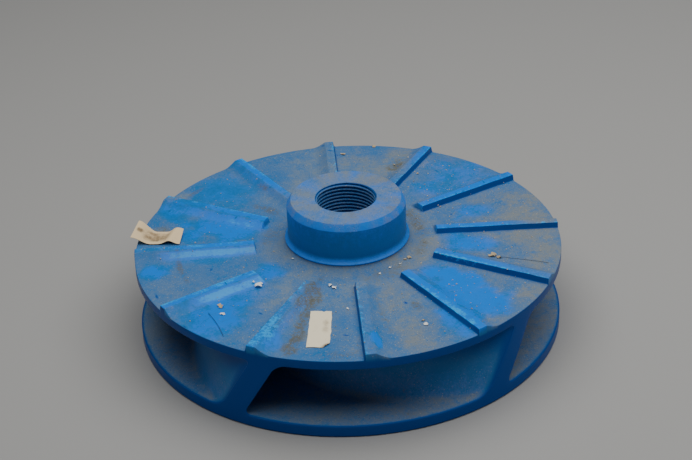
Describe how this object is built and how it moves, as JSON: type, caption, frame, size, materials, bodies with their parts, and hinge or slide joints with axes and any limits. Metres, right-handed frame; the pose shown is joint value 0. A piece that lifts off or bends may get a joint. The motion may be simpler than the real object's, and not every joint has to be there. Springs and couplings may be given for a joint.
{
  "type": "pump impeller",
  "caption": "Closed pump impeller with leaning vanes between two shrouds, radial back vanes and a hub with a threaded bore.",
  "frame": {"origin": "centre of the front face, on the floor that the impeller lies on", "axes": "+Z along the shaft axis towards the threaded hub; +X and +Y across the disc"},
  "size_m": [0.7, 0.7, 0.2235],
  "materials": {
    "blue_paint": "satin blue paint on cast iron, dusty and chipped",
    "label_paper": "blank matt paper label",
    "tag_paper": "blank cream paper tag, aged"
  },
  "bodies": {
    "root": {"back_shroud": "blue_paint", "front_shroud": "blue_paint", "threaded_hub": "blue_paint", "pump_vane_1": "blue_paint", "pump_vane_2": "blue_paint", "pump_vane_3": "blue_paint", "pump_vane_4": "blue_paint", "pump_vane_5": "blue_paint", "back_vane_01": "blue_paint", "back_vane_02": "blue_paint", "back_vane_03": "blue_paint", "back_vane_04": "blue_paint", "back_vane_05": "blue_paint", "back_vane_06": "blue_paint", "back_vane_07": "blue_paint", "back_vane_08": "blue_paint", "back_vane_09": "blue_paint", "back_vane_10": "blue_paint", "back_vane_11": "blue_paint", "back_vane_12": "blue_paint", "paper_label": "label_paper", "paper_tag": "tag_paper"}
  },
  "joints": []
}
